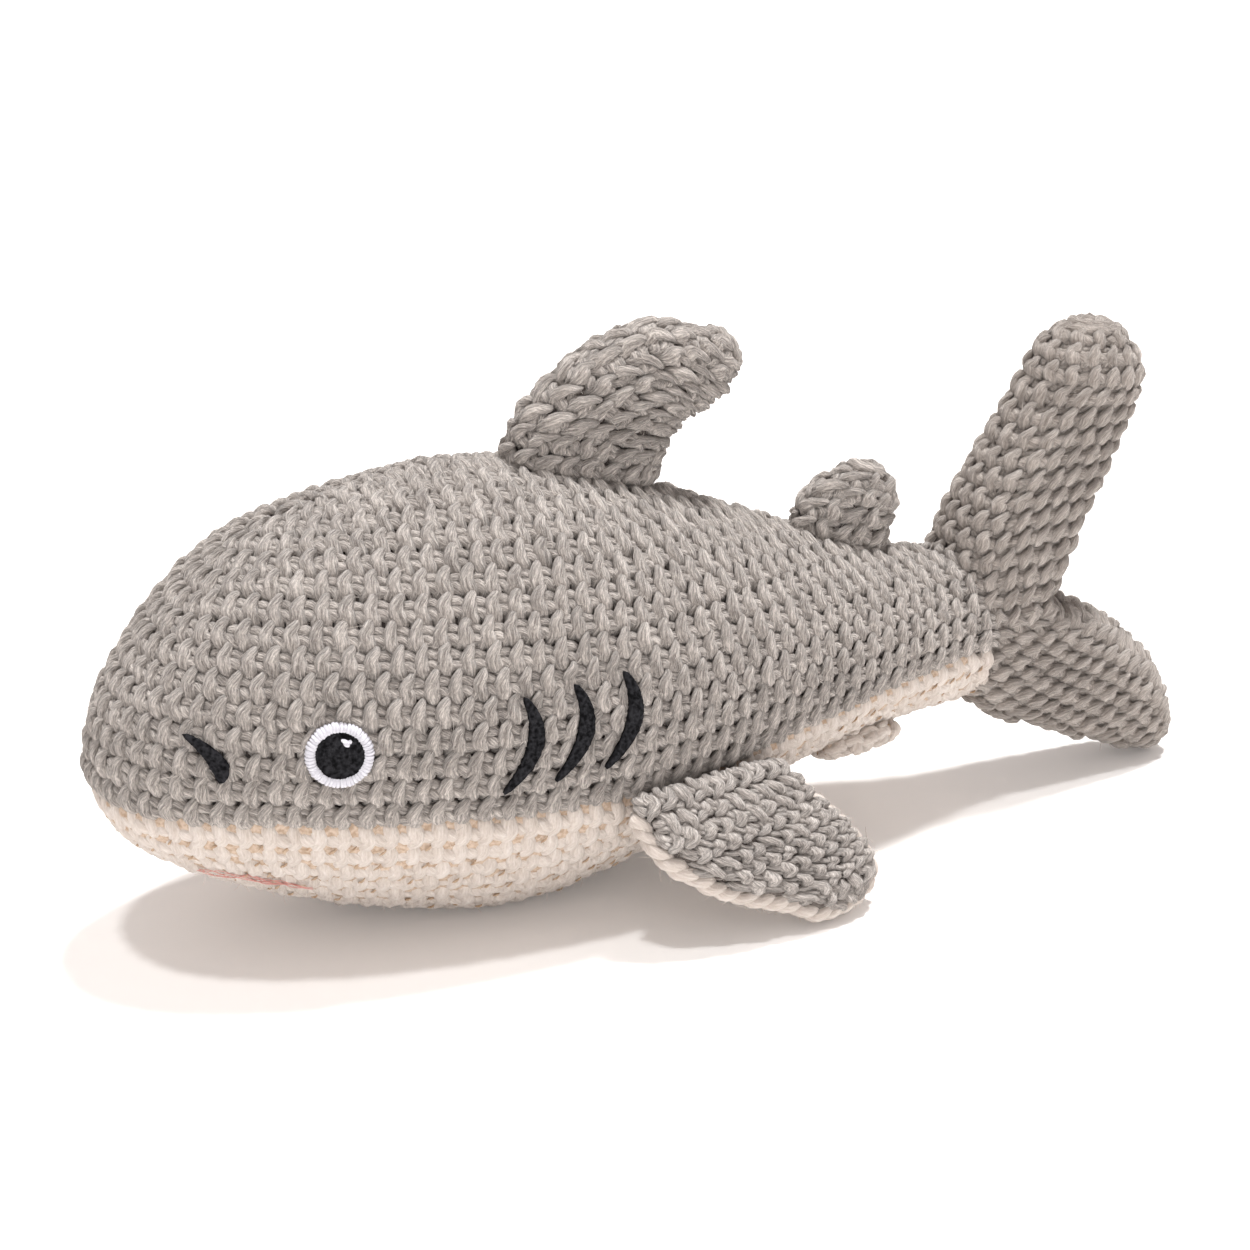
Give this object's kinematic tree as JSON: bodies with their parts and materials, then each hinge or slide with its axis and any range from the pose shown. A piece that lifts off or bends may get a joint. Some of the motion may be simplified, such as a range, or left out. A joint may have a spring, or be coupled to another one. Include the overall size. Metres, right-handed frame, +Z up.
{
  "type": "plush shark",
  "caption": "Stuffed crocheted toy shark, grey above and cream below, with sewn-on fins and tail, embroidered face, gill slits and felt eyes; it lies on its belly.",
  "frame": {"origin": "on the surface that the shark lies on, below the middle of its length and width", "axes": "+X from nose to tail, +Y towards the shark's right side, +Z up"},
  "size_m": [0.3567, 0.1424, 0.1638],
  "materials": {
    "grey_yarn": "heathered warm grey cotton yarn in single crochet",
    "cream_yarn": "fluffy cream yarn in single crochet",
    "white_thread": "white overlock satin stitching",
    "black_felt": "black felt and black satin stitching",
    "red_thread": "thin red embroidery thread",
    "fibrefill": "white polyester fibrefill"
  },
  "bodies": {
    "body": {"back_panel": "grey_yarn", "belly_panel": "cream_yarn", "body_filling": "fibrefill", "left_eye_highlight": "white_thread", "left_eye_patch": "white_thread", "left_eye_pupil": "black_felt", "left_gill_slit_1": "black_felt", "left_gill_slit_2": "black_felt", "left_gill_slit_3": "black_felt", "left_nostril": "black_felt", "mouth_stitching": "red_thread", "right_eye_highlight": "white_thread", "right_eye_patch": "white_thread", "right_eye_pupil": "black_felt", "right_gill_slit_1": "black_felt", "right_gill_slit_2": "black_felt", "right_gill_slit_3": "black_felt", "right_nostril": "black_felt"},
    "dorsal_fin": {"dorsal_fin_cover": "grey_yarn", "dorsal_fin_filling": "fibrefill"},
    "rear_dorsal_fin": {"rear_dorsal_fin_cover": "grey_yarn", "rear_dorsal_fin_filling": "fibrefill"},
    "tail_fin": {"tail_upper_lobe_cover": "grey_yarn", "tail_upper_lobe_filling": "fibrefill", "tail_lower_lobe_cover": "grey_yarn", "tail_lower_lobe_filling": "fibrefill"},
    "left_pectoral_fin": {"left_pectoral_fin_top": "grey_yarn", "left_pectoral_fin_underside": "cream_yarn", "left_pectoral_fin_filling": "fibrefill"},
    "right_pectoral_fin": {"right_pectoral_fin_top": "grey_yarn", "right_pectoral_fin_underside": "cream_yarn", "right_pectoral_fin_filling": "fibrefill"},
    "left_pelvic_fin": {"left_pelvic_fin": "cream_yarn"},
    "right_pelvic_fin": {"right_pelvic_fin": "cream_yarn"}
  },
  "joints": [
    {"name": "dorsal_fin_flop", "type": "hinge", "parent": "body", "child": "dorsal_fin", "pos_m": [-0.0325, 0, 0.1315], "axis": [0.9666, 0, -0.2564], "range_deg": [-25, 25], "stiffness_Nm_per_rad": 0.04},
    {"name": "rear_dorsal_fin_flop", "type": "hinge", "parent": "body", "child": "rear_dorsal_fin", "pos_m": [0.053, 0, 0.098], "axis": [0.9524, 0, -0.3048], "range_deg": [-20, 20], "stiffness_Nm_per_rad": 0.02},
    {"name": "tail_fin_swing", "type": "hinge", "parent": "body", "child": "tail_fin", "pos_m": [0.107, 0, 0.058], "axis": [-0.2241, 0, 0.9746], "range_deg": [-25, 25], "stiffness_Nm_per_rad": 0.15},
    {"name": "left_pectoral_fin_lift", "type": "hinge", "parent": "body", "child": "left_pectoral_fin", "pos_m": [-0.0205, -0.053, 0.0398], "axis": [-0.9732, -0.228, 0.03], "range_deg": [0, 35], "stiffness_Nm_per_rad": 0.06},
    {"name": "right_pectoral_fin_lift", "type": "hinge", "parent": "body", "child": "right_pectoral_fin", "pos_m": [-0.0205, 0.053, 0.0398], "axis": [0.9732, -0.228, -0.03], "range_deg": [0, 35], "stiffness_Nm_per_rad": 0.06},
    {"name": "left_pelvic_fin_droop", "type": "hinge", "parent": "body", "child": "left_pelvic_fin", "pos_m": [0.0385, -0.0169, 0.026], "axis": [0, 0.908, -0.419], "range_deg": [0, 25], "stiffness_Nm_per_rad": 0.02},
    {"name": "right_pelvic_fin_droop", "type": "hinge", "parent": "body", "child": "right_pelvic_fin", "pos_m": [0.0385, 0.0169, 0.026], "axis": [0, 0.908, 0.419], "range_deg": [0, 25], "stiffness_Nm_per_rad": 0.02}
  ]
}
